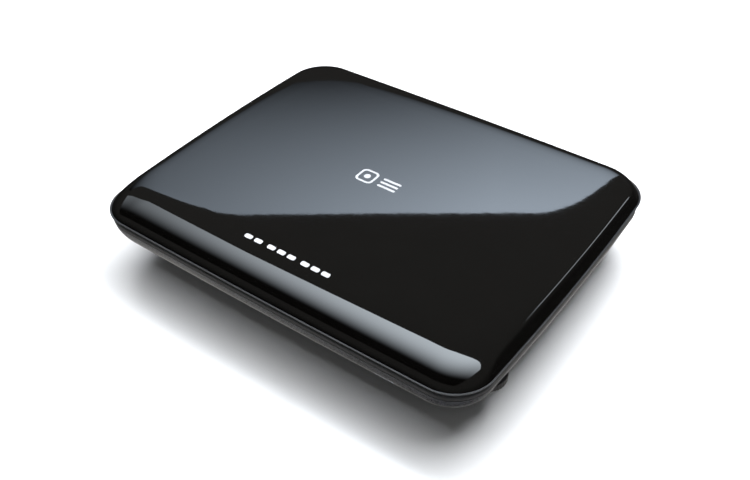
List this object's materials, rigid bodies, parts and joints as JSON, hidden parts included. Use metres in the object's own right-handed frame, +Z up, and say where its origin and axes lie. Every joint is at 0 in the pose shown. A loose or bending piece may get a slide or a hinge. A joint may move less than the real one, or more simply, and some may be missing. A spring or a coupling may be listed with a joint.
{
  "type": "portable disc player",
  "caption": "Clamshell portable disc player: boat-shaped hull with a disc drive under a flush door, and a hinged gloss lid holding the screen.",
  "frame": {"origin": "middle of the bounding box's footprint, on the plane that the rubber feet stand on, lid shut", "axes": "+Z up, +Y from the front edge to the hinge, +X to the right of somebody facing the front"},
  "size_m": [0.2, 0.16, 0.0341],
  "materials": {
    "gloss_shell": "piano black gloss, light reflections stay sharp",
    "bezel_black": "satin black moulded plastic",
    "hull_grey": "fine satin texture, charcoal grey",
    "deck_black": "satin charcoal",
    "door_gloss": "gloss charcoal",
    "key_silver": "silver paint, satin",
    "print_silver": "flat silver-white print",
    "rubber_black": "dull",
    "steel": "bright steel",
    "sheet_steel": "zinc-plated sheet",
    "cast_metal": "black painted casting",
    "motor_can": "plated can",
    "hub_black": "satin black with a soft top",
    "sled_zinc": "die-cast, dull",
    "lens_glass": "coated optical plastic, clear",
    "pcb_green": "solder mask",
    "chip_black": "moulded epoxy",
    "switch_metal": "pressed steel cap",
    "battery_wrap": "shrink-wrap, blue",
    "panel_glass": "dark anti-glare display face",
    "cone_black": "coated paper cone",
    "jack_black": "moulded socket",
    "window_smoke": "pale translucent window"
  },
  "bodies": {
    "base": {"bottom_shell": "hull_grey", "deck_cover": "deck_black", "well_ring": "deck_black", "well_floor": "deck_black", "rubber_feet": "rubber_black", "shell_screws": "steel", "hinge_brackets": "sheet_steel", "bracket_screws": "steel", "key_switches": "switch_metal", "key_board": "pcb_green", "main_board": "pcb_green", "main_chips": "chip_black", "board_screws": "steel", "battery_pack": "battery_wrap", "battery_hatch": "hull_grey", "hatch_screw": "steel", "traverse_chassis": "sheet_steel", "chassis_dampers": "rubber_black", "spindle_motor": "motor_can", "guide_rods": "steel", "sled_motor": "motor_can", "headphone_jacks": "jack_black", "dc_jack": "jack_black", "av_jack": "jack_black", "switch_body": "jack_black", "status_window": "window_smoke"},
    "lid": {"lid_cover": "gloss_shell", "lid_bezel": "bezel_black", "lid_badge": "print_silver", "lid_marks": "print_silver", "screen_panel": "panel_glass", "screen_frame": "sheet_steel", "frame_screws": "steel", "screen_board": "pcb_green", "left_speaker": "cone_black", "right_speaker": "cone_black", "lid_bumpers": "rubber_black", "lid_screws": "steel", "screw_plugs": "rubber_black", "hinge_barrel": "cast_metal", "hinge_pins": "steel"},
    "door": {"disc_door": "door_gloss"},
    "spindle": {"spindle_hub": "hub_black", "hub_balls": "steel"},
    "sled": {"pickup_sled": "sled_zinc", "objective_lens": "lens_glass"},
    "screw_shaft": {"lead_screw": "steel"},
    "wheel": {"volume_wheel": "bezel_black"},
    "power": {"power_knob": "key_silver"},
    "open_button_body": {"open_button": "key_silver"},
    "menu_key_body": {"menu_key": "key_silver"},
    "display_key_body": {"display_key": "key_silver"},
    "play_key_body": {"play_key": "key_silver"},
    "stop_key_body": {"stop_key": "key_silver"},
    "previous_key_body": {"previous_key": "key_silver"},
    "next_key_body": {"next_key": "key_silver"},
    "nav_ring_body": {"nav_ring": "key_silver"},
    "enter_key_body": {"enter_key": "key_silver"}
  },
  "joints": [
    {"name": "lid_hinge", "type": "hinge", "parent": "base", "child": "lid", "pos_m": [0, 0.0725, 0.0205], "axis": [-1, 0, 0], "range_deg": [0, 130]},
    {"name": "door_hinge", "type": "hinge", "parent": "base", "child": "door", "pos_m": [-0.022, 0.06105, 0.02585], "axis": [-1, 0, 0], "range_deg": [0, 60]},
    {"name": "spindle_spin", "type": "hinge", "parent": "base", "child": "spindle", "pos_m": [-0.022, -0.004, 0.0197], "axis": [0, 0, 1], "continuous": true},
    {"name": "sled_slide", "type": "slide", "parent": "base", "child": "sled", "axis": [1, 0, 0], "range_m": [0, 0.034]},
    {"name": "screw_spin", "type": "hinge", "parent": "base", "child": "screw_shaft", "pos_m": [0.0155, 0.021, 0.0125], "axis": [1, 0, 0], "range_deg": [-10, 4100]},
    {"name": "volume_turn", "type": "hinge", "parent": "base", "child": "wheel", "pos_m": [0.09, -0.052, 0.0171], "axis": [0, 0, 1], "range_deg": [-140, 140]},
    {"name": "power_slide", "type": "slide", "parent": "base", "child": "power", "axis": [0, 1, 0], "range_m": [0, 0.004]},
    {"name": "open_press", "type": "slide", "parent": "base", "child": "open_button_body", "axis": [0, 0, -1], "range_m": [0, 0.0006], "stiffness_N_per_m": 840, "springref_m": -0.0004},
    {"name": "menu_press", "type": "slide", "parent": "base", "child": "menu_key_body", "axis": [0, 0, -1], "range_m": [0, 0.0006], "stiffness_N_per_m": 840, "springref_m": -0.0004},
    {"name": "display_press", "type": "slide", "parent": "base", "child": "display_key_body", "axis": [0, 0, -1], "range_m": [0, 0.0006], "stiffness_N_per_m": 840, "springref_m": -0.0004},
    {"name": "play_press", "type": "slide", "parent": "base", "child": "play_key_body", "axis": [0, 0, -1], "range_m": [0, 0.0006], "stiffness_N_per_m": 840, "springref_m": -0.0004},
    {"name": "stop_press", "type": "slide", "parent": "base", "child": "stop_key_body", "axis": [0, 0, -1], "range_m": [0, 0.0006], "stiffness_N_per_m": 840, "springref_m": -0.0004},
    {"name": "previous_press", "type": "slide", "parent": "base", "child": "previous_key_body", "axis": [0, 0, -1], "range_m": [0, 0.0006], "stiffness_N_per_m": 840, "springref_m": -0.0004},
    {"name": "next_press", "type": "slide", "parent": "base", "child": "next_key_body", "axis": [0, 0, -1], "range_m": [0, 0.0006], "stiffness_N_per_m": 840, "springref_m": -0.0004},
    {"name": "nav_press", "type": "slide", "parent": "base", "child": "nav_ring_body", "axis": [0, 0, -1], "range_m": [0, 0.0006], "stiffness_N_per_m": 840, "springref_m": -0.0004},
    {"name": "enter_press", "type": "slide", "parent": "base", "child": "enter_key_body", "axis": [0, 0, -1], "range_m": [0, 0.0006], "stiffness_N_per_m": 840, "springref_m": -0.0004}
  ],
  "couplings": [
    {"joint": "door_hinge", "follows": "lid_hinge", "ratio": 0.46154},
    {"joint": "screw_spin", "follows": "sled_slide", "rad_per_m": 2094.4}
  ]
}
